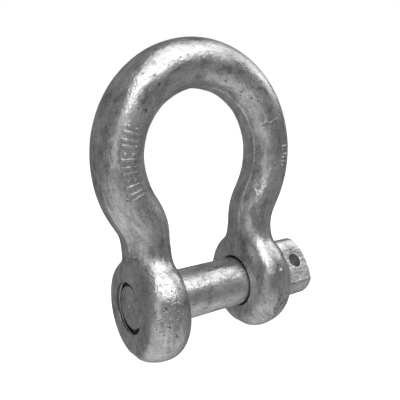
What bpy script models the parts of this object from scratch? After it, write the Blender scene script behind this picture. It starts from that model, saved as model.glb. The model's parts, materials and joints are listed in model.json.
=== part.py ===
"""A screw-pin bow shackle, of the size sold for loads up to 25 tonnes.

It comes apart into two forgings: the bow with its two ears, and the screw pin.
The origin is on the pin's axis, midway between the ears. X runs along the pin
towards its head, Z up to the crown of the bow, and Y across the bow's plane.
"""

import math

import bmesh
import bpy
from mathutils import Vector

# The bow, in metres.
JAW = 0.0811  # clear width between the ears
CROWN_RADIUS = 0.0873  # of the bar's centre line round the top of the bow
CROWN_HEIGHT = 0.1389  # of that arc's centre above the pin
NECK_RADIUS = 0.0401  # of the reverse bend above each ear
LEG_OFFSET = 0.0641  # from the middle of the jaw to the foot of a leg's centre line
LEG_LEAN = math.radians(0.9)  # the legs close in a little as they rise
FOOT_RADIUS = 0.0170  # of the bar where it starts inside the ear
BAR_RADIUS = 0.0239  # of the bar round the bow
TAPER_SHARE = 0.35  # of each half of the bar, over which it swells to full size

# The ears. Each face is flat, and the rim is rounded deeply towards both faces. A
# drop is how far an ear's centre lies below the pin's axis.
HEAD_EAR_RADIUS = 0.0521
HEAD_EAR_DROP = 0.0004
TAPPED_EAR_RADIUS = 0.0533
TAPPED_EAR_DROP = 0.0033
EAR_THICKNESS = 0.0441
WIDEST_SHARE = 0.42  # of the thickness, from the inner face to the widest place
INNER_ROUND = 0.0190  # how far in from the rim the inner face stops being flat
OUTER_ROUND = 0.0156
CLEARANCE_BORE_RADIUS = 0.0264
TAPPED_BORE_RADIUS = 0.0247

# The screw pin.
PIN_DIAMETER = 0.0508
THREAD_RADIUS = 0.0241
THREAD_LENGTH = 0.0450
TIP_RADIUS = 0.0203
TIP_CHAMFER = 0.0035
TIP_RECESS = 0.0019  # the tip stops short of the tapped ear's outer face
SHOULDER_GAP = 0.0004  # between the head and the ear that it bears on
HEAD_RADIUS = 0.0321
HEAD_LENGTH = 0.0492
HEAD_DOME = 0.0081  # how far the middle of the head's end stands past its rim
EDGE_BREAK = 0.0015
SHOULDER_LENGTH = 0.0090  # of the head's round part, before its flats
ACROSS_FLATS = 0.0416
HEAD_TILT = math.radians(35.2)  # how far the flats lean back from the bow's plane
EYE_RADIUS = 0.0075
EYE_FROM_EAR = 0.0301

# How finely the round shapes are divided.
PIN_SIDES = 36
BAR_SIDES = 20
BEND_POINTS = 8
CROWN_POINTS = 18
OVERRUN = 0.005  # how far a cutter runs past what it cuts

EAR_OUTER_FACE = JAW / 2 + EAR_THICKNESS


def clear_scene():
    for obj in list(bpy.data.objects):
        bpy.data.objects.remove(obj, do_unlink=True)


def new_collection(name):
    collection = bpy.data.collections.new(name)
    bpy.context.scene.collection.children.link(collection)
    return collection


def add_object(name, data, collection):
    obj = bpy.data.objects.new(name, data)
    collection.objects.link(obj)
    return obj


def make_cutter(obj, name, cutters):
    """Names a primitive that was just added and moves it among the cutters."""
    obj.name = name
    for owner in list(obj.users_collection):
        owner.objects.unlink(obj)
    cutters.objects.link(obj)
    obj.hide_render = True
    obj.display_type = "WIRE"
    return obj


def add_boolean(obj, other, operation):
    modifier = obj.modifiers.new(f"{operation.lower()} {other.name}", "BOOLEAN")
    modifier.operation = operation
    modifier.object = other
    modifier.solver = "EXACT"


def galvanised(name, colour, roughness):
    """A zinc-coated steel with its own shade."""
    material = bpy.data.materials.new(name)
    material.use_nodes = True
    shader = material.node_tree.nodes["Principled BSDF"]
    shader.inputs["Base Color"].default_value = (*colour, 1.0)
    shader.inputs["Metallic"].default_value = 0.9
    shader.inputs["Roughness"].default_value = roughness
    return material


def quarter_round(start, corner, end, count=5):
    """Points on the quarter ellipse from start to end that rounds off the corner."""
    start, corner, end = Vector(start), Vector(corner), Vector(end)
    centre = start + end - corner
    points = []
    for step in range(count + 1):
        angle = math.pi / 2 * step / count
        points.append(tuple(centre + (start - centre) * math.cos(angle) + (end - centre) * math.sin(angle)))
    return points


def turned(name, profile, collection, towards=1):
    """Turns a profile of (radius, distance along X) round the X axis.

    The profile runs from its greatest distance to its least. With towards -1
    the shape lies on the -X side.
    """
    mesh = bpy.data.meshes.new(name)
    vertices = [(radius, 0, along) for radius, along in profile]
    edges = [(index, index + 1) for index in range(len(profile) - 1)]
    mesh.from_pydata(vertices, edges, [])
    obj = add_object(name, mesh, collection)
    obj.rotation_euler = (0, towards * math.pi / 2, 0)
    screw = obj.modifiers.new("turn", "SCREW")
    screw.axis = "Z"
    screw.steps = PIN_SIDES
    screw.render_steps = PIN_SIDES
    screw.use_merge_vertices = True
    screw.merge_threshold = 0.00001
    screw.use_smooth_shade = True
    return obj


def bore_cutter(name, radius, start, end, cutters):
    bpy.ops.mesh.primitive_cylinder_add(
        vertices=PIN_SIDES,
        radius=radius,
        depth=end - start + 2 * OVERRUN,
        location=((start + end) / 2, 0, 0),
        rotation=(0, math.pi / 2, 0),
    )
    return make_cutter(bpy.context.object, name, cutters)


def bar_radius(share):
    """The bar's radius at a share of the way from the foot (0) to the crown (1)."""
    swell = math.sin(math.pi / 2 * min(1, share / TAPER_SHARE))
    return FOOT_RADIUS + (BAR_RADIUS - FOOT_RADIUS) * swell


def arc_points(centre, radius, start, end, count):
    """Points along an arc, without its last one."""
    points = []
    for step in range(count):
        angle = start + (end - start) * step / count
        points.append(centre + radius * Vector((math.cos(angle), math.sin(angle))))
    return points


def half_centre_line():
    """The bar's centre line as (x, z) points, up the +X leg to the crown.

    It is a straight leg, the reverse bend of the neck and the arc of the
    crown, each tangent to the next.
    """
    foot = Vector((LEG_OFFSET, 0))
    rise = Vector((-math.sin(LEG_LEAN), math.cos(LEG_LEAN)))
    outward = Vector((math.cos(LEG_LEAN), math.sin(LEG_LEAN)))
    crown_centre = Vector((0, CROWN_HEIGHT))

    # The straight ends where the bend's centre is both radii from the crown's.
    from_crown = foot + outward * NECK_RADIUS - crown_centre
    along = from_crown.dot(rise)
    spare = along**2 - from_crown.length_squared + (CROWN_RADIUS + NECK_RADIUS) ** 2
    straight = -along - math.sqrt(spare)
    bend_centre = foot + rise * straight + outward * NECK_RADIUS
    to_crown = crown_centre - bend_centre
    bend_start = math.pi + LEG_LEAN
    bend_end = math.atan2(to_crown.y, to_crown.x)

    points = [foot, foot + rise * (straight / 2)]
    points += arc_points(bend_centre, NECK_RADIUS, bend_start, bend_end, BEND_POINTS)
    points += arc_points(crown_centre, CROWN_RADIUS, bend_end - math.pi, math.pi / 2, CROWN_POINTS)
    points.append(crown_centre + Vector((0, CROWN_RADIUS)))
    return points


def bar(name, collection):
    """The bent bar as a closed mesh, from a bevelled curve whose radius varies."""
    half = half_centre_line()
    lengths = [0.0]
    for before, after in zip(half, half[1:]):
        lengths.append(lengths[-1] + (after - before).length)
    side = [(point.x, point.y, bar_radius(length / lengths[-1])) for point, length in zip(half, lengths)]
    whole = side + [(-x, z, radius) for x, z, radius in reversed(side[:-1])]

    curve = bpy.data.curves.new(name + " path", "CURVE")
    curve.dimensions = "3D"
    curve.bevel_depth = 1.0
    curve.bevel_resolution = BAR_SIDES // 2 - 2
    curve.use_fill_caps = True
    spline = curve.splines.new("POLY")
    spline.points.add(len(whole) - 1)
    for point, (x, z, radius) in zip(spline.points, whole):
        point.co = (x, 0, z, 1)
        point.radius = radius
    path = add_object(name + " path", curve, collection)

    evaluated = path.evaluated_get(bpy.context.evaluated_depsgraph_get())
    mesh = bpy.data.meshes.new_from_object(evaluated)
    bm = bmesh.new()
    bm.from_mesh(mesh)
    bmesh.ops.remove_doubles(bm, verts=bm.verts, dist=0.00001)
    bmesh.ops.recalc_face_normals(bm, faces=bm.faces)
    bm.to_mesh(mesh)
    bm.free()
    obj = add_object(name, mesh, collection)
    obj.matrix_world = path.matrix_world.copy()
    bpy.data.objects.remove(path, do_unlink=True)
    return obj


def ear(name, towards, radius, drop, cutters):
    """One ear: a thick disc, flat on both faces, with a deeply rounded rim."""
    inner_face = JAW / 2
    widest = inner_face + EAR_THICKNESS * WIDEST_SHARE
    outer_rim = quarter_round(
        (radius - OUTER_ROUND, EAR_OUTER_FACE),
        (radius, EAR_OUTER_FACE),
        (radius, widest),
    )
    inner_rim = quarter_round(
        (radius, widest),
        (radius, inner_face),
        (radius - INNER_ROUND, inner_face),
    )
    profile = [(0, EAR_OUTER_FACE), *outer_rim, *inner_rim[1:], (0, inner_face)]
    obj = turned(name, profile, cutters, towards)
    obj.location = (0, 0, -drop)
    obj.hide_render = True
    obj.display_type = "WIRE"
    return obj


def make_bow(parts, cutters):
    """The bow forging: the bar and both ears joined, then bored for the pin."""
    bow = bar("bow_body", parts)
    bow.data.shade_smooth()
    bow.data.materials.append(galvanised("galvanised bow", (0.46, 0.46, 0.45), 0.42))
    add_boolean(bow, ear("head ear", 1, HEAD_EAR_RADIUS, HEAD_EAR_DROP, cutters), "UNION")
    add_boolean(bow, ear("tapped ear", -1, TAPPED_EAR_RADIUS, TAPPED_EAR_DROP, cutters), "UNION")
    bores = (
        ("clearance bore", CLEARANCE_BORE_RADIUS, JAW / 2, EAR_OUTER_FACE),
        ("tapped bore", TAPPED_BORE_RADIUS, -EAR_OUTER_FACE, -JAW / 2),
    )
    for name, radius, start, end in bores:
        add_boolean(bow, bore_cutter(name, radius, start, end, cutters), "DIFFERENCE")
    return bow


def head_end(end, count=5):
    """The domed end of the head, from its middle to its broken edge."""
    rim = HEAD_RADIUS - EDGE_BREAK
    points = []
    for step in range(count + 1):
        radius = rim * step / count
        points.append((radius, end - HEAD_DOME * (radius / HEAD_RADIUS) ** 2))
    points.append((HEAD_RADIUS, points[-1][1] - EDGE_BREAK))
    return points


def make_pin(parts, cutters):
    """The screw pin: thread, shank and head turned in one, then the flats and the eye."""
    tip = -EAR_OUTER_FACE + TIP_RECESS
    shoulder = EAR_OUTER_FACE + SHOULDER_GAP
    shank = PIN_DIAMETER / 2
    profile = [
        *head_end(shoulder + HEAD_LENGTH),
        (HEAD_RADIUS, shoulder + EDGE_BREAK),
        (HEAD_RADIUS - EDGE_BREAK, shoulder),
        (shank, shoulder),
        (shank, tip + THREAD_LENGTH + EDGE_BREAK),
        (THREAD_RADIUS, tip + THREAD_LENGTH),
        (THREAD_RADIUS, tip + TIP_CHAMFER),
        (TIP_RADIUS, tip),
        (0, tip),
    ]
    pin = turned("screw_pin", profile, parts)
    pin.data.materials.append(galvanised("galvanised pin", (0.55, 0.55, 0.54), 0.40))

    # The flats' outward direction is the front one's: forwards and up.
    forwards = Vector((0, -math.cos(HEAD_TILT), math.sin(HEAD_TILT)))
    length = HEAD_LENGTH - SHOULDER_LENGTH + OVERRUN
    depth = HEAD_RADIUS - ACROSS_FLATS / 2 + OVERRUN
    for side, name in ((1, "front flat"), (-1, "back flat")):
        bpy.ops.mesh.primitive_cube_add(size=1)
        block = make_cutter(bpy.context.object, name, cutters)
        block.scale = (length, depth, 2 * (HEAD_RADIUS + OVERRUN))
        block.rotation_euler = (-HEAD_TILT, 0, 0)
        middle = Vector((shoulder + SHOULDER_LENGTH + length / 2, 0, 0))
        block.location = middle + forwards * side * (ACROSS_FLATS + depth) / 2
        add_boolean(pin, block, "DIFFERENCE")

    eye = bore_cutter("eye", EYE_RADIUS, -HEAD_RADIUS, HEAD_RADIUS, cutters)
    eye.location = (EAR_OUTER_FACE + EYE_FROM_EAR, 0, 0)
    eye.rotation_euler = (math.pi / 2 - HEAD_TILT, 0, 0)
    add_boolean(pin, eye, "DIFFERENCE")
    return pin


def main():
    clear_scene()
    parts = new_collection("bow shackle")
    cutters = new_collection("cutters")
    make_bow(parts, cutters)
    make_pin(parts, cutters)


main()
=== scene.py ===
"""The looks of the screw-pin bow shackle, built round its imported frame.

Two pieces stand for the two forgings. The bow is remeshed finely from rough
solids, drawn onto the exact shape of the bar and the ears with fillets between
them, bored and tapped, and then gets its parting line, raised marks and pits.
The pin is turned with a real thread, and its head has flats and an eye.
All sizes are in metres.
"""

import json
import math

import bmesh
import bpy
import numpy as np
from mathutils import Matrix, Vector, noise


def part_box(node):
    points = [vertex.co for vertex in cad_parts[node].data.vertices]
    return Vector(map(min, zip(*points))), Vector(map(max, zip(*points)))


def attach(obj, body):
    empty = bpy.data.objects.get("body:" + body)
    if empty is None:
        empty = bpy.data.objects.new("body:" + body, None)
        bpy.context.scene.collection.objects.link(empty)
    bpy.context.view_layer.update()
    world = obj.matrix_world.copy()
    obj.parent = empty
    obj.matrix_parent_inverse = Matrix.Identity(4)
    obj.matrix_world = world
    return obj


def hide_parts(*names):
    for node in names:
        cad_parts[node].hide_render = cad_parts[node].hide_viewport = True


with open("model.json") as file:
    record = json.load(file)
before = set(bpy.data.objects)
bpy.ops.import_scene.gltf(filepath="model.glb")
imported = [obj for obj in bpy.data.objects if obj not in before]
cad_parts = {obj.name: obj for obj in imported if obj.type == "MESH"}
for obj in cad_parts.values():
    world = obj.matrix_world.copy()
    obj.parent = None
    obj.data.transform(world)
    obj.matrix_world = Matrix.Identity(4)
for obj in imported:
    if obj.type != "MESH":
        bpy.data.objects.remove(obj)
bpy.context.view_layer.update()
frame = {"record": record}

# ---------------------------------------------------------------- sizes from the frame

MOUNTS = {mount["name"]: Vector(mount["pos_m"]) for mount in frame["record"]["mounts"]}
BOW_LOW, BOW_HIGH = (Vector(corner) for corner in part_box("bow_body"))
PIN_LOW, PIN_HIGH = (Vector(corner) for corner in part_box("screw_pin"))

INNER_FACE = MOUNTS["jaw_face_head_side"].x
OUTER_FACE = -MOUNTS["tapped_ear_outer_face"].x
EAR_THICKNESS = OUTER_FACE - INNER_FACE

BAR_RADIUS = 0.0239
FOOT_RADIUS = 0.0170  # of the bar, inside the ear
TAPER_SHARE = 0.35  # share of half the bow over which the bar swells to its full radius
# The bar's centre line: a leaning leg, a neck bend and the crown's arc on each side.
CROWN_RADIUS = BOW_HIGH.x - BAR_RADIUS
CROWN_HEIGHT = BOW_HIGH.z - BOW_HIGH.x
NECK_RADIUS = 0.0401
LEG_OFFSET = 0.0641
LEG_LEAN = math.radians(0.9)
EASING = 0.0065  # length over which the leg, bend and crown run into each other

# The ear on the head's side (+X), then the tapped one.
EAR_RADII = (0.0521, BOW_HIGH.y)
EAR_DROPS = (0.0004, -BOW_LOW.z - BOW_HIGH.y)

HEAD_RADIUS = PIN_HIGH.z
HEAD_END = PIN_HIGH.x
HEAD_DOME = 0.0081  # how far the head's end bulges
FRONT_FLAT = Vector((0, MOUNTS["head_front_flat"].y, MOUNTS["head_front_flat"].z))
HALF_ACROSS_FLATS = FRONT_FLAT.length
FLAT_OUTWARD = FRONT_FLAT.normalized()
SHOULDER = OUTER_FACE + 0.0004
SHOULDER_LENGTH = 0.0090
FLAT_START = SHOULDER + SHOULDER_LENGTH
EYE_PLACE = OUTER_FACE + 0.0301
EYE_RADIUS = 0.0075
HEAD_EDGE_ROUND = 0.008  # reach of the eased edges of the flats
TIP = PIN_LOW.x
TIP_RADIUS = 0.0203
SHANK_RADIUS = 0.0254
THREAD_LENGTH = 0.0450
THREAD_END = TIP + THREAD_LENGTH
CENTRE_RADIUS = 0.0019  # of the centre mark that the lathe left in the tip
CENTRE_RIM_HEIGHT = 0.0009
CENTRE_RIM_WIDTH = 0.0010

# ---------------------------------------------------------------- sizes of the fine shape

WIDEST_SHARE = 0.42  # place of the ear's widest reach, as a share of its thickness
INNER_ROUND = 0.0190  # how far the rounds cut in from the ear's reach
OUTER_ROUND = 0.0156
FULLNESS = 0.93  # of the rounds: 1 is an ellipse, and less is squarer
FILLET = 0.041  # where the bar's surface and the ear's would meet at a right angle
LEAST_MEETING = 0.02  # share of the fillet left where they run the same way
FRONT_FILLET_LOSS = 0.30  # share by which the fillet is smaller on the front and the back
OUTER_FILLET_LOSS = 0.18  # share by which it is smaller outside the bow, and larger in the jaw
CLEARANCE_BORE = 0.0264
TAPPED_BORE = 0.0246  # of the thread's crests
THREAD_PITCH = 0.0056
THREAD_DEPTH = 0.0017
PIN_THREAD = 0.0242  # of the thread's crests, clear of the ear's crests
THREAD_ROOT_SHARE = 0.12  # shares of half a turn taken by the flat root and by the flank
THREAD_FLANK_SHARE = 0.70
THREAD_STEP = THREAD_PITCH / 12  # between the mesh's rings
CHAMFER = 0.0014
TAPPED_CHAMFER = 0.0006  # at the tapped bore's outer end
CUTTER_REACH = 0.004  # past the faces of the ears
BORE_MARGIN = 0.0006  # round the bores, where the surface stays as it was cut
BORE_FADE = (0.001, 0.006)  # distances from a bore between which the lumps set in
BOW_VOXEL = 0.0011
HEAD_VOXEL = 0.0008

# Painted shade on the walls of the bores, and how soon it sets in from their ends. The thread's crests
# get a smaller share of it, which paints their glints.
BORE_END_FADE = 0.0010
CREST_SHARE = 0.3
CREST_PAINTED_SHADE = 0.35
TIP_DARKNESS = 0.30  # of the pin's flat tip

# The flat that trimming leaves along the parting line. Its edges stand proud of the round bar.
LAND_HALF_WIDTH = 0.0075
LAND_DEPTH = 0.0006  # below the round surface, along the middle
LAND_EDGE_WIDTH = 0.0019
LAND_EDGE_REACH = 0.0022  # from the edge, where the mesh is made finer
LAND_WAVER = 0.6  # share by which the proud edges rise and fall
DRESSED_FROM = 0.125  # height above which the outside of the bow is dressed nearly round
DRESSED_OVER = 0.03
DRESSED_SHARE = 0.85

# Lumps left by the forging, on the bow and on the head: (height, noise scale, noise seed).
BOW_LUMPS = ((0.00022, 42, 1), (0.00008, 150, 2))
HEAD_LUMPS = ((0.00010, 120, 5), (0.00012, 520, 6))

TINY = 1e-9  # keeps a division by a length from failing
SLIGHT = 1e-6  # too small a distance to see


def smoothstep(low, high, value):
    share = np.clip((value - low) / (high - low), 0, 1)
    return share * share * (3 - 2 * share)


# ---------------------------------------------------------------- the bow's exact shape


def bow_layout():
    """The centre line's straight leg, neck bend and crown arc, on the +X side."""
    rise = np.array((-math.sin(LEG_LEAN), math.cos(LEG_LEAN)))
    outward = np.array((math.cos(LEG_LEAN), math.sin(LEG_LEAN)))
    foot = np.array((LEG_OFFSET, 0.0))
    crown = np.array((0.0, CROWN_HEIGHT))
    from_crown = foot + outward * NECK_RADIUS - crown
    along = from_crown @ rise
    spare = along**2 - from_crown @ from_crown + (CROWN_RADIUS + NECK_RADIUS) ** 2
    straight = -along - math.sqrt(spare)
    bend = foot + rise * straight + outward * NECK_RADIUS
    bend_start = math.pi + LEG_LEAN
    bend_end = math.atan2(*(crown - bend)[::-1])
    bend_length = NECK_RADIUS * (bend_start - bend_end)
    crown_start = bend_end - math.pi
    total = straight + bend_length + CROWN_RADIUS * (math.pi / 2 - crown_start)
    return {
        "foot": foot,
        "rise": rise,
        "straight": straight,
        "bend": bend,
        "bend_start": bend_start,
        "bend_end": bend_end,
        "bend_length": bend_length,
        "crown": crown,
        "crown_start": crown_start,
        "total": total,
    }


LAYOUT = bow_layout()


def centre_at(length):
    """The centre line's point (x, z) at a length from the foot, on the +X side."""
    lay = LAYOUT
    if length <= lay["straight"]:
        return tuple(lay["foot"] + lay["rise"] * length)
    length -= lay["straight"]
    if length <= lay["bend_length"]:
        angle = lay["bend_start"] - length / NECK_RADIUS
        return tuple(lay["bend"] + NECK_RADIUS * np.array((math.cos(angle), math.sin(angle))))
    angle = lay["crown_start"] + (length - lay["bend_length"]) / CROWN_RADIUS
    return tuple(lay["crown"] + CROWN_RADIUS * np.array((math.cos(angle), math.sin(angle))))


def eased_centre_line(count=900):
    """Lengths and points (x, z) along half the bow, with the changes between its arcs eased.

    The half is mirrored past both of its ends first, so that the easing leaves them in place.
    """
    lengths = np.linspace(0, LAYOUT["total"], count)
    points = np.array([centre_at(length) for length in lengths])
    past_foot = 2 * points[0] - points[count:0:-1]
    past_crown = points[-2::-1] * (-1, 1)
    whole = np.vstack([past_foot, points, past_crown])
    reach = round(3 * EASING * count / LAYOUT["total"])
    weights = np.exp(-0.5 * (np.arange(-reach, reach + 1) * LAYOUT["total"] / count / EASING) ** 2)
    weights /= weights.sum()
    eased = np.stack([np.convolve(whole[:, axis], weights, "same") for axis in (0, 1)], 1)
    return lengths, eased[len(past_foot) : len(past_foot) + count]


LINE_LENGTHS, LINE_POINTS = eased_centre_line()
LINE_WAYS = np.gradient(LINE_POINTS, LINE_LENGTHS, axis=0)
LINE_WAYS /= np.linalg.norm(LINE_WAYS, axis=1)[:, None]


def on_line(table, lengths):
    """The rows of a table along the centre line, read between its lengths."""
    return np.stack([np.interp(lengths, LINE_LENGTHS, table[:, axis]) for axis in (0, 1)], 1)


def nearest_on_centre_line(points, rounds=5):
    """For each point, the bar's nearest centre (|x|, z), the length up to it, and its way outwards.

    The nearest place on the plain leg, bend or crown is found first, then moved along the eased line.
    """
    flat = np.stack([np.abs(points[:, 0]), points[:, 2]], 1)
    lay = LAYOUT
    up_leg = np.clip((flat - lay["foot"]) @ lay["rise"], 0, lay["straight"])
    on_leg = lay["foot"] + up_leg[:, None] * lay["rise"]

    off_bend = flat - lay["bend"]
    angle = np.arctan2(off_bend[:, 1], off_bend[:, 0]) % (2 * math.pi)
    angle = np.clip(angle, lay["bend_end"], lay["bend_start"])
    from_bend = np.stack([np.cos(angle), np.sin(angle)], 1)
    up_bend = lay["straight"] + NECK_RADIUS * (lay["bend_start"] - angle)

    off_crown = flat - lay["crown"]
    angle = np.arctan2(off_crown[:, 1], off_crown[:, 0])
    angle = np.clip(angle, lay["crown_start"], math.pi / 2)
    from_crown = np.stack([np.cos(angle), np.sin(angle)], 1)
    up_crown = lay["straight"] + lay["bend_length"] + CROWN_RADIUS * (angle - lay["crown_start"])

    on_bend = lay["bend"] + NECK_RADIUS * from_bend
    on_crown = lay["crown"] + CROWN_RADIUS * from_crown
    places = np.stack([on_leg, on_bend, on_crown])
    lengths = np.stack([up_leg, up_bend, up_crown])
    best = np.argmin(np.linalg.norm(places - flat, axis=2), axis=0)
    length = lengths[best, np.arange(len(points))]
    for _ in range(rounds):
        step = ((flat - on_line(LINE_POINTS, length)) * on_line(LINE_WAYS, length)).sum(1)
        length = np.clip(length + 0.8 * step, 0, lay["total"])
    way = on_line(LINE_WAYS, length)
    return on_line(LINE_POINTS, length), length, np.stack([way[:, 1], -way[:, 0]], 1)


def straightened(points):
    """Each point as if the bar were straight: (along from the crown, outwards, across)."""
    place, length, outward = nearest_on_centre_line(points)
    off = np.stack([np.abs(points[:, 0]), points[:, 2]], 1) - place
    along = length + off[:, 1] * outward[:, 0] - off[:, 0] * outward[:, 1] - LAYOUT["total"]
    side = np.where(points[:, 0] < 0, -1.0, 1.0)
    return np.stack([side * along, (off * outward).sum(1), points[:, 1]], 1)


def bar_radius(length):
    swell = np.sin(math.pi / 2 * np.minimum(1, length / LAYOUT["total"] / TAPER_SHARE))
    return FOOT_RADIUS + (BAR_RADIUS - FOOT_RADIUS) * swell


def bar_distance(points):
    """Distance to the bar's surface, negative inside, and the outward direction."""
    place, length, _ = nearest_on_centre_line(points)
    side = np.where(points[:, 0] < 0, -1.0, 1.0)
    off = np.stack([points[:, 0] - side * place[:, 0], points[:, 1], points[:, 2] - place[:, 1]], 1)
    far = np.linalg.norm(off, axis=1) + TINY
    return far - bar_radius(length), off / far[:, None]


def ear_profile(radius, count=24):
    """The ear's outline as (distance along X, reach from its centre), outer face first."""
    widest = INNER_FACE + EAR_THICKNESS * WIDEST_SHARE
    quarter = np.linspace(0, math.pi / 2, count)
    falling = np.cos(quarter).clip(0) ** FULLNESS
    rising = np.sin(quarter) ** FULLNESS
    outer = np.stack([widest + (OUTER_FACE - widest) * falling, radius - OUTER_ROUND * (1 - rising)], 1)
    inner = np.stack([widest - (widest - INNER_FACE) * rising, radius - INNER_ROUND * (1 - falling)], 1)
    return np.vstack([[OUTER_FACE, 0], outer, inner[1:], [INNER_FACE, 0]])


def one_ear_distance(points, radius, drop):
    """Distance to the surface of one ear, as if it were on the +X side, and the outward direction."""
    across = points[:, 1:] + (0, drop)
    reach = np.linalg.norm(across, axis=1) + TINY
    flat = np.stack([points[:, 0], reach], 1)
    nearest = np.full(len(points), np.inf)
    highest = np.full(len(points), -np.inf)
    toward = np.zeros_like(flat)
    profile = ear_profile(radius)
    for start, end in zip(profile, profile[1:]):
        step = end - start
        outward = np.array((step[1], -step[0])) / np.linalg.norm(step)
        outward *= 1 if start[0] >= end[0] else -1
        share = np.clip(((flat - start) @ step) / (step @ step), 0, 1)
        off = flat - (start + share[:, None] * step)
        far = np.linalg.norm(off, axis=1)
        height = (flat - start) @ outward
        highest = np.maximum(highest, height)
        closer = far < nearest
        nearest[closer] = far[closer]
        direction = off / np.maximum(far, TINY)[:, None] * np.sign(height)[:, None]
        direction[far < SLIGHT] = outward
        toward[closer] = direction[closer]
    distance = np.where(highest > 0, nearest, -nearest)
    around = across / reach[:, None]
    return distance, np.hstack([toward[:, :1], toward[:, 1:] * around])


def ear_distance(points):
    """Distance to the surface of the ear on the point's own side, and the outward direction."""
    distance = np.empty(len(points))
    out = np.empty_like(points)
    for side, radius, drop in zip((1, -1), EAR_RADII, EAR_DROPS):
        mine = (points[:, 0] >= 0) if side == 1 else (points[:, 0] < 0)
        distance[mine], out[mine] = one_ear_distance(points[mine] * (side, 1, 1), radius, drop)
        out[mine] *= (side, 1, 1)
    return distance, out


def bow_distance(points):
    """The bar and the ears together, with a fillet where their surfaces meet at an angle.

    Returns the distance, the outward direction and the share that the bar has in it.
    """
    bar_far, bar_out = bar_distance(points)
    ear_far, ear_out = ear_distance(points)
    meeting = np.clip(1 - (bar_out * ear_out).sum(1), LEAST_MEETING, 1)
    outer_side = bar_out[:, 0] * np.sign(points[:, 0])
    blend = FILLET * meeting
    blend *= 1 - FRONT_FILLET_LOSS * np.abs(bar_out[:, 1]) - OUTER_FILLET_LOSS * outer_side
    share = np.clip(0.5 + 0.5 * (ear_far - bar_far) / blend, 0, 1)
    far = ear_far * (1 - share) + bar_far * share - blend * share * (1 - share)
    out = bar_out * share[:, None] + ear_out * (1 - share)[:, None]
    return far, out / (np.linalg.norm(out, axis=1) + TINY)[:, None], share


def draw_onto_shape(points, rounds=8, share=0.9):
    """The points moved onto the bow's surface, by a share of their distance in each round."""
    for _ in range(rounds):
        far, out, _ = bow_distance(points)
        points = points - out * (far * share)[:, None]
    return points


# ---------------------------------------------------------------- mesh helpers


def read_points(mesh):
    points = np.empty(len(mesh.vertices) * 3)
    mesh.vertices.foreach_get("co", points)
    return points.reshape(-1, 3)


def write_points(mesh, points):
    mesh.vertices.foreach_set("co", np.ascontiguousarray(points, dtype=np.float32).ravel())
    mesh.update()


def read_normals(mesh):
    normals = np.empty(len(mesh.vertices) * 3)
    mesh.vertices.foreach_get("normal", normals)
    return normals.reshape(-1, 3)


def add_mesh(name, vertices, faces):
    mesh = bpy.data.meshes.new(name)
    mesh.from_pydata([tuple(vertex) for vertex in vertices], [], faces)
    mesh.update()
    obj = bpy.data.objects.new(name, mesh)
    bpy.context.scene.collection.objects.link(obj)
    return obj


def turned(name, stations, radius_at, sides):
    """A closed shape round the X axis. radius_at(along, angle) may vary with the angle."""
    angles = np.linspace(0, 2 * math.pi, sides, endpoint=False)
    vertices = []
    for along in stations:
        for angle in angles:
            radius = radius_at(along, angle)
            vertices.append((along, radius * math.cos(angle), radius * math.sin(angle)))
    faces = []
    for ring in range(len(stations) - 1):
        for side in range(sides):
            after = (side + 1) % sides
            low, high = ring * sides, (ring + 1) * sides
            faces.append((low + side, low + after, high + after, high + side))
    last = (len(stations) - 1) * sides
    first_pole, last_pole = len(vertices), len(vertices) + 1
    vertices += [(stations[0], 0, 0), (stations[-1], 0, 0)]
    for side in range(sides):
        after = (side + 1) % sides
        faces.append((first_pole, after, side))
        faces.append((last_pole, last + side, last + after))
    return add_mesh(name, vertices, faces)


def profile_radius(profile):
    """A radius_at for a plain profile of (along, radius) points."""
    places, radii = zip(*profile)
    return lambda along, angle: float(np.interp(along, places, radii))


def stations_between(*stretches):
    """Places along X from (start, end, step) stretches, each place once."""
    places = []
    for start, end, step in stretches:
        count = max(1, round(abs(end - start) / step))
        places += list(np.linspace(start, end, count + 1))
    return sorted(set(round(place, 7) for place in places))


def apply_modifiers(obj):
    evaluated = obj.evaluated_get(bpy.context.evaluated_depsgraph_get())
    mesh = bpy.data.meshes.new_from_object(evaluated)
    obj.modifiers.clear()
    obj.data = mesh


def apply_boolean(obj, other, operation):
    modifier = obj.modifiers.new(operation, "BOOLEAN")
    modifier.operation = operation
    modifier.object = other
    modifier.solver = "EXACT"
    apply_modifiers(obj)
    bpy.data.objects.remove(other, do_unlink=True)


def refine(mesh, wanted):
    """Halves the edges whose two ends are both wanted, where wanted holds a flag for each vertex."""
    bm = bmesh.new()
    bm.from_mesh(mesh)
    bm.verts.ensure_lookup_table()
    edges = [edge for edge in bm.edges if wanted[edge.verts[0].index] and wanted[edge.verts[1].index]]
    bmesh.ops.subdivide_edges(bm, edges=edges, cuts=1, use_grid_fill=True)
    bm.to_mesh(mesh)
    bm.free()


def shade(obj, angle=35):
    obj.data.shade_smooth()
    obj.data.set_sharp_from_angle(angle=math.radians(angle))


def thread_wave(along, angle):
    """Height of a screw thread, from 0 in its root to 1 on its crest."""
    turn = (along / THREAD_PITCH - angle / (2 * math.pi)) % 1.0
    ramp = 1 - abs(2 * turn - 1)
    return min(1.0, max(0.0, (ramp - THREAD_ROOT_SHARE) / THREAD_FLANK_SHARE))


def noise_at(points, scale, seed):
    """Smooth noise of about -1 to 1 at each point. Each seed shifts it to another place."""
    shift = Vector((seed * 13.7, seed * 5.1, seed * 9.3))
    return np.array([noise.noise(Vector(point) * scale + shift) for point in points.tolist()])


def lumps_at(points, lumps):
    """Height of the lumps at each point."""
    return sum(height * noise_at(points, scale, seed) for height, scale, seed in lumps)


# ---------------------------------------------------------------- the bow


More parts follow.
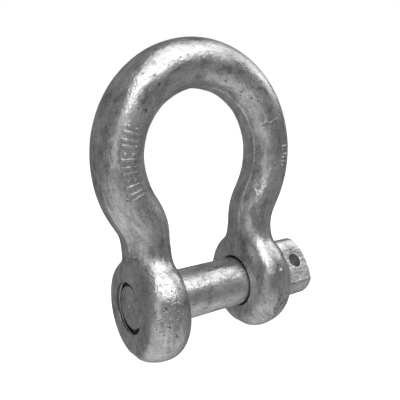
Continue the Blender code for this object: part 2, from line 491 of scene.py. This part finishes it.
def rough_bow():
    """Tube and discs that only have to be near the real shape before they are remeshed."""
    half = [centre_at(share * LAYOUT["total"]) for share in np.linspace(0, 1, 60)]
    whole = half + [(-x, z) for x, z in half[-2::-1]]
    curve = bpy.data.curves.new("rough bar", "CURVE")
    curve.dimensions = "3D"
    curve.bevel_depth = BAR_RADIUS * 0.97
    curve.bevel_resolution = 8
    curve.use_fill_caps = True
    spline = curve.splines.new("POLY")
    spline.points.add(len(whole) - 1)
    for point, (x, z) in zip(spline.points, whole):
        point.co = (x, 0, z, 1)
    obj = bpy.data.objects.new("rough bar", curve)
    bpy.context.scene.collection.objects.link(obj)
    mesh = bpy.data.meshes.new_from_object(obj.evaluated_get(bpy.context.evaluated_depsgraph_get()))
    bpy.data.objects.remove(obj, do_unlink=True)

    bm = bmesh.new()
    bm.from_mesh(mesh)
    for side, radius, drop in zip((1, -1), EAR_RADII, EAR_DROPS):
        outline = [(side * along, reach) for along, reach in ear_profile(radius, 10)[1:-1]]
        reaches = dict(outline)
        disc = turned("rough ear", sorted(reaches), lambda along, angle: reaches[along], 96)
        disc.data.transform(Matrix.Translation((0, 0, -drop)))
        bm.from_mesh(disc.data)
        bpy.data.objects.remove(disc, do_unlink=True)
    bmesh.ops.remove_doubles(bm, verts=bm.verts, dist=SLIGHT)
    bmesh.ops.recalc_face_normals(bm, faces=bm.faces)
    bm.to_mesh(mesh)
    bm.free()
    bow = bpy.data.objects.new("bow_forging", mesh)
    bpy.context.scene.collection.objects.link(bow)
    remesh = bow.modifiers.new("even mesh", "REMESH")
    remesh.mode = "VOXEL"
    remesh.voxel_size = BOW_VOXEL
    apply_modifiers(bow)
    return bow


def cut_bores(bow):
    """The plain bore in the head-side ear and the tapped bore in the other, both chamfered."""
    over = CUTTER_REACH
    clear = [
        (INNER_FACE - over, CLEARANCE_BORE + CHAMFER + over),
        (INNER_FACE + CHAMFER, CLEARANCE_BORE),
        (OUTER_FACE - CHAMFER, CLEARANCE_BORE),
        (OUTER_FACE + over, CLEARANCE_BORE + CHAMFER + over),
    ]
    plain = turned("plain bore", [along for along, _ in clear], profile_radius(clear), 128)
    apply_boolean(bow, plain, "DIFFERENCE")

    root = TAPPED_BORE + THREAD_DEPTH
    tapped = [
        (-OUTER_FACE - over, TAPPED_BORE + TAPPED_CHAMFER + over),
        (-OUTER_FACE + TAPPED_CHAMFER, TAPPED_BORE),
        (-INNER_FACE - CHAMFER, TAPPED_BORE),
        (-INNER_FACE + over, root + over),
    ]
    opening = profile_radius(tapped)

    def radius_at(along, angle):
        return max(opening(along, angle), TAPPED_BORE + THREAD_DEPTH * (1 - thread_wave(along, angle)))

    places = stations_between((-OUTER_FACE - over, -INNER_FACE + over, THREAD_STEP))
    apply_boolean(bow, turned("tapped bore", places, radius_at, 96), "DIFFERENCE")


def in_bores(points):
    """True on the walls and chamfers of both bores."""
    reach = np.linalg.norm(points[:, 1:], axis=1)
    return reach < CLEARANCE_BORE + CHAMFER + BORE_MARGIN


def bore_painted_shade(points):
    """Painted shade on the walls of the bores (0 to 1): less at their ends, and less on the thread's
    crests, where it paints glints.
    """
    along = np.abs(points[:, 0])
    from_outside = smoothstep(0, BORE_END_FADE, OUTER_FACE - along)
    from_jaw = smoothstep(0, BORE_END_FADE, along - INNER_FACE)
    reach = np.linalg.norm(points[:, 1:], axis=1)
    crest = (points[:, 0] < 0) & (reach < TAPPED_BORE + CREST_SHARE * THREAD_DEPTH)
    return from_outside * from_jaw * np.where(crest, CREST_PAINTED_SHADE, 1.0)


def land_height(points):
    """How far the trimmed land stands above the round surface, or below it where negative."""
    _, out, bar_share = bow_distance(points)
    _, length, _ = nearest_on_centre_line(points)
    across = np.abs(points[:, 1])
    ear = np.where(points[:, 0] > 0, *EAR_RADII)
    section = bar_radius(length) * bar_share + ear * (1 - bar_share)
    inside = np.minimum(across, LAND_HALF_WIDTH) / section
    height = (section - LAND_DEPTH) / np.sqrt(1 - inside**2) - section
    height *= 1 - smoothstep(0, LAND_EDGE_WIDTH, across - LAND_HALF_WIDTH)
    near_edge = smoothstep(0.5, 1.0, across / LAND_HALF_WIDTH)
    height *= 1 + LAND_WAVER * noise_at(points, 60, 3) * near_edge
    from_middle = np.hypot(points[:, 0], points[:, 2] - CROWN_HEIGHT)
    outside = smoothstep(CROWN_RADIUS, CROWN_RADIUS + 0.01, from_middle)
    dressed = outside * smoothstep(DRESSED_FROM - DRESSED_OVER, DRESSED_FROM, points[:, 2])
    height *= 1 - DRESSED_SHARE * dressed
    # The land is on the sides of the bar, but not on the flat faces of the ears.
    on_face = (1 - bar_share) * smoothstep(0.80, 0.95, np.abs(out[:, 0]))
    on_side = smoothstep(0.80, 0.92, np.hypot(out[:, 0], out[:, 2]))
    return height * (1 - on_face) * on_side


# Raised marks: groups of plain ribs and pips, which carry no lettering. A row runs along the
# bar from its start, at a turn from the bar's front towards the outside of the bow.
MARK_HEIGHT = 0.0013
MARK_HALF_WIDTH = 0.0007
MARK_EDGE = 0.0009
MARK_GROUND_PAINTED_SHADE = 0.60  # painted shade on the ground close round the marks
MARK_GROUND_WIDTH = 0.0030
MARK_MARGIN = 0.001  # round the rows, where the mesh is made finer
MARK_ROWS = (
    {"side": -1, "start": 0.114, "turn": -0.02, "count": 6, "pitch": 0.0115, "reach": 0.0068},
    {"side": 1, "start": 0.130, "turn": 0.30, "count": 3, "pitch": 0.0076, "reach": 0.0034},
)
# The strokes of two groups, each from (along, across) to (along, across), in shares of the
# pitch and the reach.
MARK_GROUPS = (
    (((-0.22, -1.0), (-0.22, 1.0)), ((0.20, -1.0), (0.20, 1.0))),
    (((-0.22, -1.0), (-0.22, 1.0)), ((0.20, -0.65), (0.20, -0.55)), ((0.20, 0.55), (0.20, 0.65))),
)


def mark_places(points, row):
    """(length along the bar, width round the bar) of each point, from a row's middle line."""
    place, length, outward = nearest_on_centre_line(points)
    off = np.stack([np.abs(points[:, 0]), points[:, 2]], 1) - place
    angle = np.arctan2((off * outward).sum(1), -points[:, 1])
    return length, (angle - row["turn"]) * bar_radius(length)


def stroke_distance(along, across, start, end):
    """Distance of each place to a stroke's middle line."""
    here = np.stack([along, across], 1)
    start, end = np.array(start), np.array(end)
    step = end - start
    share = np.clip(((here - start) @ step) / (step @ step), 0, 1)
    return np.linalg.norm(here - start - share[:, None] * step, axis=1)


def facing_row(points, row):
    """Indices of the points on the row's side of the bow, on the front."""
    return np.flatnonzero((np.sign(points[:, 0]) == row["side"]) & (points[:, 1] < 0))


def raised_marks(points):
    """Height of the marks, and the painted shade on the ground close round them (0 to 1)."""
    height = np.zeros(len(points))
    ground = np.zeros(len(points))
    for row in MARK_ROWS:
        index = facing_row(points, row)
        along, across = mark_places(points[index], row)
        size = np.array((row["pitch"], row["reach"]))
        for group in range(row["count"]):
            middle = row["start"] + group * row["pitch"]
            for start, end in MARK_GROUPS[group % len(MARK_GROUPS)]:
                far = stroke_distance(along - middle, across, start * size, end * size)
                stroke = 1 - smoothstep(0, MARK_EDGE, far - MARK_HALF_WIDTH)
                height[index] = np.maximum(height[index], stroke)
                ground[index] = np.maximum(ground[index], 1 - smoothstep(0, MARK_GROUND_WIDTH, far))
    return height * MARK_HEIGHT, ground * (1 - height) * MARK_GROUND_PAINTED_SHADE


def near_marks(points):
    """True on and close round the raised marks."""
    flags = np.zeros(len(points), bool)
    for row in MARK_ROWS:
        index = facing_row(points, row)
        along, across = mark_places(points[index], row)
        before = row["start"] - row["pitch"] / 2 - along
        after = along - row["start"] - (row["count"] - 0.5) * row["pitch"]
        within_ends = np.maximum(before, after) < MARK_MARGIN
        flags[index] = within_ends & (np.abs(across) < row["reach"] + 2 * MARK_MARGIN)
    return flags


def near_land_edges(points):
    return np.abs(np.abs(points[:, 1]) - LAND_HALF_WIDTH) < LAND_EDGE_REACH


# Marks of handling on the front, and patches of painted shade: (start, end, half width, depth,
# darkness). A pit, a stain or a patch starts and ends close together; a scratch runs between two places.
DENTS_AND_PAINTED_SHADE = (
    ((0.021, -0.019, 0.208), (0.022, -0.019, 0.208), 0.0009, 0.0006, 0.9),
    ((0.035, -0.022, 0.207), (0.036, -0.022, 0.207), 0.0009, 0.0006, 0.9),
    ((0.040, -0.018, 0.198), (0.041, -0.018, 0.198), 0.0008, 0.0005, 0.9),
    ((0.052, -0.020, 0.192), (0.053, -0.020, 0.191), 0.0010, 0.0006, 0.9),
    ((0.059, -0.022, 0.189), (0.060, -0.022, 0.188), 0.0009, 0.0006, 0.9),
    ((0.067, -0.018, 0.164), (0.071, -0.021, 0.166), 0.0013, 0.0007, 0.7),
    ((0.071, -0.021, 0.166), (0.076, -0.0231, 0.169), 0.0007, 0.0007, 0.3),
    ((0.076, -0.0231, 0.169), (0.082, -0.0239, 0.172), 0.0006, 0.0006, 0.2),
    ((-0.084, -0.008, 0.050), (-0.084, -0.008, 0.051), 0.0008, 0.0006, 0.9),
    ((-0.081, -0.014, 0.050), (-0.081, -0.014, 0.051), 0.0008, 0.0006, 0.9),
    ((-0.076, -0.049, 0.003), (-0.075, -0.049, 0.002), 0.0010, 0.0007, 0.8),
    ((-0.070, -0.051, 0.004), (-0.066, -0.052, 0.001), 0.0010, 0.0008, 0.8),
    ((-0.072, -0.051, -0.003), (-0.069, -0.052, -0.005), 0.0009, 0.0006, 0.8),
    ((-0.063, -0.052, -0.013), (-0.063, -0.052, -0.015), 0.0014, 0.0006, 0.6),
    # Painted shade: a flat dark patch, with no dent, on the front of the tapped ear.
    ((-0.070, -0.049, 0.015), (-0.054, -0.048, 0.012), 0.0060, 0.0000, 0.28),
    ((-0.0846, 0.0020, -0.036), (-0.0835, -0.0030, -0.043), 0.0008, 0.0006, 0.8),
    ((0.0635, -0.0467, 0.0223), (0.0640, -0.0470, 0.0205), 0.0026, 0.0010, 0.5),
    ((0.0690, -0.0492, -0.0127), (0.0640, -0.0490, -0.0170), 0.0014, 0.0009, 0.9),
    ((0.0640, -0.0485, -0.0190), (0.0620, -0.0466, -0.0230), 0.0012, 0.0009, 0.9),
    ((0.0620, -0.0466, -0.0230), (0.0600, -0.0448, -0.0262), 0.0016, 0.0009, 0.9),
    ((0.0560, -0.0483, -0.0180), (0.0560, -0.0472, -0.0205), 0.0012, 0.0008, 0.9),
    ((-0.104, -0.016, 0.190), (-0.103, -0.016, 0.194), 0.0030, 0.0003, 0.45),
    # Painted shade: two shallow dark patches on the right leg, between its light bands.
    ((0.070, -0.020, 0.150), (0.068, -0.019, 0.140), 0.0030, 0.0002, 0.30),
    ((0.060, -0.018, 0.100), (0.062, -0.019, 0.108), 0.0030, 0.0002, 0.30),
)


def hollow_at(far, half_width, floor_share):
    """Depth of a hollow, from 1 on its floor to 0 past its edge, at distances from its middle."""
    return 1 - smoothstep(floor_share * half_width, (floor_share + 1.1) * half_width, far)


def dent_depth(points):
    """Depth of the dents below the surface, and how dark each point is in them and in the patches of
    painted shade (0 to 1).
    """
    depth = np.zeros(len(points))
    darkness = np.zeros(len(points))
    for start, end, half_width, deepest, darkest in DENTS_AND_PAINTED_SHADE:
        start = np.array(start)
        step = np.array(end) - start
        share = np.clip(((points - start) @ step) / (step @ step), 0, 1)
        far = np.linalg.norm(points - start - share[:, None] * step, axis=1)
        hollow = hollow_at(far, half_width, 0.2)
        depth = np.maximum(depth, hollow * deepest)
        darkness = np.maximum(darkness, hollow * darkest)
    return depth, darkness


# Fields of small pits: (middle, radius, count, width as a share of the usual one).
PIT_FIELDS = (
    ((-0.068, -0.051, -0.003), 0.017, 34, 1.0),
    ((-0.060, -0.047, 0.017), 0.010, 12, 1.0),
    ((0.040, -0.019, 0.200), 0.024, 22, 1.0),
    ((0.066, -0.049, -0.015), 0.012, 26, 2.0),
    ((0.057, -0.045, -0.026), 0.010, 10, 1.8),
    ((0.064, -0.016, 0.080), 0.016, 14, 1.0),
)
PIT_HALF_WIDTHS = (0.0003, 0.0008)
PIT_DEPTHS = (0.0002, 0.0006)
PIT_DARKNESS = 0.8


def add_pits(points, depth, darkness):
    """Adds the pit fields to the depth and the darkness of the dents."""
    draw = np.random.default_rng(11)
    for middle, radius, count, width in PIT_FIELDS:
        index = np.flatnonzero(np.linalg.norm(points - np.array(middle), axis=1) < radius)
        for _ in range(count):
            pit_place = points[index[draw.integers(len(index))]]
            half_width = width * draw.uniform(*PIT_HALF_WIDTHS)
            deepest = draw.uniform(*PIT_DEPTHS)
            hollow = hollow_at(np.linalg.norm(points[index] - pit_place, axis=1), half_width, 0.3)
            depth[index] = np.maximum(depth[index], hollow * deepest)
            darkness[index] = np.maximum(darkness[index], hollow * PIT_DARKNESS)


def near_dents(points):
    """True in the dents and all over the fields of pits."""
    flags = dent_depth(points)[0] > 0
    for middle, radius, _, _ in PIT_FIELDS:
        flags |= np.linalg.norm(points - np.array(middle), axis=1) < radius
    return flags


def add_surface_data(obj, places, wear_and_painted_shade):
    """Keeps the places that the materials take their grain from, and how dark each point is, from wear
    and from painted shade.
    """
    flow = obj.data.attributes.new("flow", "FLOAT_VECTOR", "POINT")
    flow.data.foreach_set("vector", np.ascontiguousarray(places, dtype=np.float32).ravel())
    darkness = obj.data.attributes.new("wear_and_painted_shade", "FLOAT", "POINT")
    darkness.data.foreach_set("value", np.ascontiguousarray(wear_and_painted_shade, dtype=np.float32))


def make_bow():
    """The bow, drawn onto its exact shape, bored, refined where it has small features, roughened and
    dented, with painted shade in its bores and round its marks.
    """
    bow = rough_bow()
    write_points(bow.data, draw_onto_shape(read_points(bow.data)))
    cut_bores(bow)

    for kinds in ((near_marks, near_land_edges, near_dents), (near_marks, near_dents)):
        points = read_points(bow.data)
        wanted = np.any([kind(points) for kind in kinds], axis=0)
        refine(bow.data, wanted & ~in_bores(points))
    points = read_points(bow.data)
    free = ~in_bores(points)
    points[free] = draw_onto_shape(points[free], rounds=2)

    outside = points[free]
    _, out, _ = bow_distance(outside)
    from_bore = np.linalg.norm(outside[:, 1:], axis=1) - CLEARANCE_BORE
    fade = smoothstep(*BORE_FADE, from_bore)
    depth, dark_dents_and_painted_shade = dent_depth(outside)
    add_pits(outside, depth, dark_dents_and_painted_shade)
    marks, ground = raised_marks(outside)
    height = (lumps_at(outside, BOW_LUMPS) + land_height(outside)) * fade + marks - depth
    # The darkness kept on the mesh: painted shade on the bore walls with painted glints on the crests,
    # painted shade round the marks and in the flat patches, and the dark dents and pits.
    wear_and_painted_shade = bore_painted_shade(points)
    wear_and_painted_shade[free] = np.maximum(dark_dents_and_painted_shade, ground)
    add_surface_data(bow, straightened(points), wear_and_painted_shade)
    points[free] = outside + out * height[:, None]
    write_points(bow.data, points)
    shade(bow)
    return bow


# ---------------------------------------------------------------- the pin


def head_radius_at(along):
    """Radius of the head before its flats are cut, from the shoulder to the middle of its domed end."""
    rim = HEAD_END - HEAD_DOME
    if along > rim:
        return HEAD_RADIUS * math.sqrt(max(0.0, (HEAD_END - along) / HEAD_DOME))
    return HEAD_RADIUS


def round_edges(points):
    """Eases the upper edge of the front flat and the lower edge of the back one, as the die wore."""
    outward = np.array(FLAT_OUTWARD)
    upward = np.cross(outward, (1, 0, 0))
    facing = points @ outward
    side = np.sign(facing)
    radial = points * (0, 1, 1)
    reach = np.linalg.norm(radial, axis=1) + TINY
    gap = np.abs((HALF_ACROSS_FLATS - np.abs(facing)) - (HEAD_RADIUS - reach))
    inset = HEAD_EDGE_ROUND / 4 * np.clip(1 - gap / HEAD_EDGE_ROUND, 0, 1) ** 2
    inset *= smoothstep(0, 0.004, side * (points @ upward))
    inset *= smoothstep(FLAT_START, FLAT_START + 0.003, points[:, 0])
    way = side[:, None] * outward + radial / reach[:, None]
    return points - way / (np.linalg.norm(way, axis=1) + TINY)[:, None] * inset[:, None]


def make_head():
    """The head: round, domed at its end, with two flats and the eye, then softened and roughened."""
    rings = 14
    dome = [HEAD_END - HEAD_DOME * (1 - ring / rings) ** 2 for ring in range(rings)]
    places = [SHOULDER, *dome, HEAD_END - SLIGHT]
    head = turned("pin head", sorted(places), lambda along, angle: head_radius_at(along), 128)
    over = 0.005  # how far the blocks that cut the flats reach past the head
    middle = (FLAT_START + HEAD_END) / 2 + over
    length = HEAD_END - FLAT_START + 2 * over
    turn = Matrix.Rotation(math.atan2(FLAT_OUTWARD.z, -FLAT_OUTWARD.y), 4, "X").inverted()
    for side in (-1, 1):
        bpy.ops.mesh.primitive_cube_add(size=1)
        block = bpy.context.object
        depth = HEAD_RADIUS - HALF_ACROSS_FLATS + over
        place = Vector((middle, 0, 0)) + FLAT_OUTWARD * side * (HALF_ACROSS_FLATS + depth / 2)
        size = Matrix.Diagonal((length, depth, HEAD_RADIUS * 3, 1))
        block.data.transform(Matrix.Translation(place) @ turn @ size)
        apply_boolean(head, block, "DIFFERENCE")
    reach = 0.04  # of the eye's cutter, past both flats
    eye = turned("eye", [-reach, reach], lambda along, angle: EYE_RADIUS, 64)
    across = Vector((1, 0, 0)).rotation_difference(FLAT_OUTWARD).to_matrix().to_4x4()
    eye.data.transform(Matrix.Translation((EYE_PLACE, 0, 0)) @ across)
    apply_boolean(head, eye, "DIFFERENCE")

    remesh = head.modifiers.new("even mesh", "REMESH")
    remesh.mode = "VOXEL"
    remesh.voxel_size = HEAD_VOXEL
    soften = head.modifiers.new("soften edges", "SMOOTH")
    soften.factor = 0.5
    soften.iterations = 3
    apply_modifiers(head)
    write_points(head.data, round_edges(read_points(head.data)))
    points = read_points(head.data)
    away = smoothstep(SHOULDER, SHOULDER + 0.002, points[:, 0])
    points += read_normals(head.data) * (lumps_at(points, HEAD_LUMPS) * away)[:, None]
    write_points(head.data, points)
    return head


def pin_radius_at(along, angle):
    """Radius of the pin from its tip to inside its head. The tip is a cone at 45 degrees."""
    if along < THREAD_END:
        crest = min(PIN_THREAD, TIP_RADIUS + along - TIP)
        cut = THREAD_DEPTH * (1 - thread_wave(along, angle))
        run_out = min(1.0, (THREAD_END - along) / THREAD_PITCH)
        return min(crest, PIN_THREAD - cut * run_out)
    return min(SHANK_RADIUS, PIN_THREAD + (along - THREAD_END))


def make_pin():
    """The pin: threaded tip with its centre mark, shank, and the head joined on."""
    shank_start = THREAD_END + 0.002
    places = stations_between(
        (TIP, THREAD_END, THREAD_STEP),
        (THREAD_END, shank_start, 0.0005),
        (shank_start, SHOULDER + 0.004, 0.0015),
    )
    pin = turned("screw_pin_forging", places, pin_radius_at, 128)
    rim = (
        (TIP - CENTRE_RIM_HEIGHT, CENTRE_RADIUS),
        (TIP, CENTRE_RADIUS + CENTRE_RIM_WIDTH),
        (TIP + 0.002, CENTRE_RADIUS),
    )
    hollow = ((TIP - CENTRE_RADIUS, 2 * CENTRE_RADIUS), (TIP + CENTRE_RADIUS, 0.00005))
    steps = (("centre rim", rim, "UNION"), ("centre mark", hollow, "DIFFERENCE"))
    for name, profile, operation in steps:
        cutter = turned(name, [along for along, _ in profile], profile_radius(profile), 32)
        apply_boolean(pin, cutter, operation)
    apply_boolean(pin, make_head(), "UNION")
    points = read_points(pin.data)
    reach = np.linalg.norm(points[:, 1:], axis=1)
    # Painted shade on the thread and on the tip's cone, which sit in the tapped bore; the flat tip is
    # darkened by TIP_DARKNESS.
    thread = 1 - smoothstep(THREAD_END, THREAD_END + 0.003, points[:, 0])
    on_tip = (points[:, 0] < TIP + 0.0001) & (reach > CENTRE_RADIUS)
    add_surface_data(pin, points, np.where(on_tip, TIP_DARKNESS, thread))
    shade(pin, 30)
    return pin


# ---------------------------------------------------------------- materials


def add_node(tree, kind, **settings):
    node = tree.nodes.new(kind)
    for name, value in settings.items():
        setattr(node, name, value)
    return node


def add_noise(tree, scale, detail, roughness, distortion=0.0, stretch=1.0):
    """Noise in the straightened bar's space, drawn out along the bar where stretch is above 1."""
    place = tree.nodes.get("flow")
    if not place:
        place = add_node(tree, "ShaderNodeAttribute", name="flow", attribute_name="flow")
    mapping = add_node(tree, "ShaderNodeMapping", vector_type="POINT")
    mapping.inputs["Scale"].default_value = (scale / stretch, scale, scale)
    tree.links.new(place.outputs["Vector"], mapping.inputs["Vector"])
    texture = add_node(tree, "ShaderNodeTexNoise", noise_dimensions="3D")
    texture.inputs["Scale"].default_value = 1.0
    texture.inputs["Detail"].default_value = detail
    texture.inputs["Roughness"].default_value = roughness
    texture.inputs["Distortion"].default_value = distortion
    tree.links.new(mapping.outputs["Vector"], texture.inputs["Vector"])
    return texture.outputs["Fac"]


def add_ramp(tree, source, *stops):
    """A ramp between two stops of (place, grey)."""
    ramp = tree.nodes.new("ShaderNodeValToRGB")
    for element, (place, grey) in zip(ramp.color_ramp.elements, stops):
        element.position = place
        element.color = (grey, grey, grey, 1.0)
    tree.links.new(source, ramp.inputs["Fac"])
    return ramp.outputs["Color"]


def add_multiplied(tree, share, first, second):
    mix = tree.nodes.new("ShaderNodeMix")
    mix.data_type = "RGBA"
    mix.blend_type = "MULTIPLY"
    mix.inputs["Factor"].default_value = share
    tree.links.new(first, mix.inputs["A"])
    tree.links.new(second, mix.inputs["B"])
    return mix.outputs["Result"]


def add_bump(tree, height, distance, below):
    """Bumps from a height, on top of the bumps below where there are any."""
    bump = tree.nodes.new("ShaderNodeBump")
    bump.inputs["Distance"].default_value = distance
    bump.inputs["Strength"].default_value = 1.0
    tree.links.new(height, bump.inputs["Height"])
    if below:
        tree.links.new(below, bump.inputs["Normal"])
    return bump.outputs["Normal"]


# The galvanised surface's noises: (scale, detail, roughness, distortion, stretch along the bar).
PATCHES = (55, 6, 0.66, 0.5, 1.7)
GLOSS = (170, 6, 0.68, 0.3, 2.5)
# What darkens it, coarse to fine: (share, noise, darkest stop, clear stop).
DARKENING = (
    (0.7, (100, 5, 0.66, 0.9, 1.5), (0.32, 0.42), (0.48, 1.0)),
    (0.6, (380, 3, 0.60, 0.2, 6.0), (0.30, 0.66), (0.62, 1.0)),
    (0.7, (560, 3, 0.70, 0.0, 1.0), (0.32, 0.50), (0.52, 1.0)),
    (0.8, (240, 1, 0.50, 0.0, 1.0), (0.235, 0.20), (0.27, 1.0)),
)
# Its bumps, coarse to fine: (height for a grain of 1, noise).
BUMPS = (
    (0.00055, (110, 3, 0.55, 0.0, 1.6)),
    (0.00026, (300, 2, 0.55, 0.0, 2.5)),
    (0.00015, (620, 2, 0.60, 0.0, 1.0)),
)
WEAR_AND_SHADE_GREY = 0.28  # share of the colour left where the wear and the painted shade are full


def galvanised(name, greys, roughnesses, grain):
    """Hot-dip zinc on a forging: patchy grey, uneven gloss, fine grain and small dark pits, darkened
    further by the wear and painted shade kept on the mesh.
    """
    material = bpy.data.materials.new(name)
    material.use_nodes = True
    tree = material.node_tree
    shader = tree.nodes["Principled BSDF"]
    shader.inputs["Metallic"].default_value = 0.95

    colour = add_ramp(tree, add_noise(tree, *PATCHES), (0.34, greys[0]), (0.64, greys[1]))
    for share, settings, darkest, clear in DARKENING:
        layer = add_ramp(tree, add_noise(tree, *settings), darkest, clear)
        colour = add_multiplied(tree, share, colour, layer)
    wear_and_painted_shade = add_node(tree, "ShaderNodeAttribute", attribute_name="wear_and_painted_shade")
    worn_and_shaded = add_ramp(tree, wear_and_painted_shade.outputs["Fac"], (0.0, 1.0), (1.0, WEAR_AND_SHADE_GREY))
    colour = add_multiplied(tree, 1.0, colour, worn_and_shaded)
    tree.links.new(colour, shader.inputs["Base Color"])

    gloss = add_ramp(tree, add_noise(tree, *GLOSS), (0.32, roughnesses[0]), (0.70, roughnesses[1]))
    tree.links.new(gloss, shader.inputs["Roughness"])

    normal = None
    for height, settings in BUMPS:
        normal = add_bump(tree, add_noise(tree, *settings), height * grain, normal)
    tree.links.new(normal, shader.inputs["Normal"])
    return material


# ---------------------------------------------------------------- stage, light and camera


FLOOR_SIZE = 8
FLOOR_GAP = 0.0002  # under the lower ear
FLOOR_GREY = 0.82
FLOOR_GLOW = 0.95  # which keeps the floor as white as the paper behind it


def add_floor():
    bpy.ops.mesh.primitive_plane_add(size=FLOOR_SIZE, location=(0, 0, BOW_LOW.z - FLOOR_GAP))
    floor = bpy.context.object
    floor.name = "floor"
    material = bpy.data.materials.new("pale floor")
    material.use_nodes = True
    shader = material.node_tree.nodes["Principled BSDF"]
    shader.inputs["Base Color"].default_value = (FLOOR_GREY, FLOOR_GREY, FLOOR_GREY, 1)
    shader.inputs["Roughness"].default_value = 0.9
    shader.inputs["Specular IOR Level"].default_value = 0.0
    shader.inputs["Emission Color"].default_value = (1, 1, 1, 1)
    shader.inputs["Emission Strength"].default_value = FLOOR_GLOW
    floor.data.materials.append(material)
    floor.visible_glossy = False


# Softboxes: (name, azimuth from the front towards +X, elevation, width, height, radiance).
SOFTBOX_DISTANCE = 1.3
SOFTBOXES = (
    ("key", 9, 48, 1.22, 0.95, 2.0),
    ("front fill", -12, 25, 0.60, 0.45, 0.60),
    ("camera side", -43, 3, 0.36, 0.66, 0.75),
    ("overhead", 42, 79, 0.80, 0.60, 1.6),
    ("side", 86, 42, 0.90, 0.82, 1.00),
    ("low side", 82, 23, 0.70, 0.28, 1.3),
)
ROOM = 0.205
FLOOR_BOUNCE = 0.58
FLOOR_DIRECTION = (-0.25, -0.25, -0.93)  # the floor below and a little to the front left, which is lit
FLOOR_SPREAD = (0.40, 0.80)  # cosines from that direction where the bounce starts and is full


def add_softbox(name, azimuth, elevation, width, height, radiance):
    """A rectangular light turned to the middle of the bow, and hidden from the camera."""
    light = bpy.data.lights.new(name, "AREA")
    light.shape = "RECTANGLE"
    light.size = width
    light.size_y = height
    light.energy = radiance * math.pi * width * height  # in watts, from radiance
    obj = bpy.data.objects.new(name, light)
    bpy.context.scene.collection.objects.link(obj)
    turn, lift = math.radians(azimuth), math.radians(elevation)
    away = Vector((math.sin(turn) * math.cos(lift), -math.cos(turn) * math.cos(lift), math.sin(lift)))
    obj.location = Vector((0, 0, (BOW_LOW.z + BOW_HIGH.z) / 2)) + away * SOFTBOX_DISTANCE
    obj.rotation_euler = away.to_track_quat("Z", "Y").to_euler()
    obj.visible_camera = False


def add_room():
    """A dim room with a paler floor, which the metal reflects, behind plain white paper."""
    world = bpy.data.worlds.new("studio")
    bpy.context.scene.world = world
    world.use_nodes = True
    tree = world.node_tree
    room = tree.nodes["Background"]
    place = add_node(tree, "ShaderNodeTexCoord")
    towards = add_node(tree, "ShaderNodeVectorMath", operation="DOT_PRODUCT")
    towards.inputs[1].default_value = FLOOR_DIRECTION
    tree.links.new(place.outputs["Generated"], towards.inputs[0])
    spread = add_node(tree, "ShaderNodeMapRange")
    spread.inputs["From Min"].default_value = FLOOR_SPREAD[0]
    spread.inputs["From Max"].default_value = FLOOR_SPREAD[1]
    spread.inputs["To Min"].default_value = ROOM
    spread.inputs["To Max"].default_value = FLOOR_BOUNCE
    spread.interpolation_type = "SMOOTHSTEP"
    tree.links.new(towards.outputs["Value"], spread.inputs["Value"])
    tree.links.new(spread.outputs["Result"], room.inputs["Strength"])
    room.inputs["Color"].default_value = (1, 1, 1, 1)
    paper = add_node(tree, "ShaderNodeBackground")
    paper.inputs["Color"].default_value = (1, 1, 1, 1)
    seen = add_node(tree, "ShaderNodeLightPath")
    either = add_node(tree, "ShaderNodeMixShader")
    tree.links.new(seen.outputs["Is Camera Ray"], either.inputs["Fac"])
    tree.links.new(room.outputs["Background"], either.inputs[1])
    tree.links.new(paper.outputs["Background"], either.inputs[2])
    tree.links.new(either.outputs["Shader"], tree.nodes["World Output"].inputs["Surface"])


def add_light():
    add_room()
    for softbox in SOFTBOXES:
        add_softbox(*softbox)
    bpy.context.scene.view_settings.view_transform = "Standard"


# The camera's place, as angles from the front and from the level, and a distance.
CAMERA_AZIMUTH = math.radians(-33.64)
CAMERA_ELEVATION = math.radians(9.82)
CAMERA_ROLL = math.radians(-1.84)
CAMERA_DISTANCE = 0.4920
CAMERA_LENS_MM = 44.22
LOOK_AT_HEIGHT = 0.0930


def add_camera():
    back = Vector(
        (
            math.sin(CAMERA_AZIMUTH) * math.cos(CAMERA_ELEVATION),
            -math.cos(CAMERA_AZIMUTH) * math.cos(CAMERA_ELEVATION),
            math.sin(CAMERA_ELEVATION),
        )
    )
    right = (-back).cross(Vector((0, 0, 1))).normalized()
    up = right.cross(-back)
    axes = Matrix((right, up, back)).transposed().to_4x4()
    data = bpy.data.cameras.new("camera")
    data.lens = CAMERA_LENS_MM
    data.sensor_width = 36
    data.clip_start = 0.01
    camera = bpy.data.objects.new("camera", data)
    bpy.context.scene.collection.objects.link(camera)
    place = Matrix.Translation(Vector((0, 0, LOOK_AT_HEIGHT)) + back * CAMERA_DISTANCE)
    camera.matrix_world = place @ axes @ Matrix.Rotation(CAMERA_ROLL, 4, "Z")
    bpy.context.scene.camera = camera


add_camera()
add_light()
add_floor()

bow = make_bow()
bow_zinc = galvanised("galvanised bow", greys=(0.50, 0.88), roughnesses=(0.23, 0.39), grain=1.15)
bow.data.materials.clear()
bow.data.materials.append(bow_zinc)
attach(bow, "bow")
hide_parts("bow_body")

pin = make_pin()
pin_zinc = galvanised("galvanised pin", greys=(0.66, 1.00), roughnesses=(0.22, 0.35), grain=0.95)
pin.data.materials.clear()
pin.data.materials.append(pin_zinc)
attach(pin, "pin")
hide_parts("screw_pin")
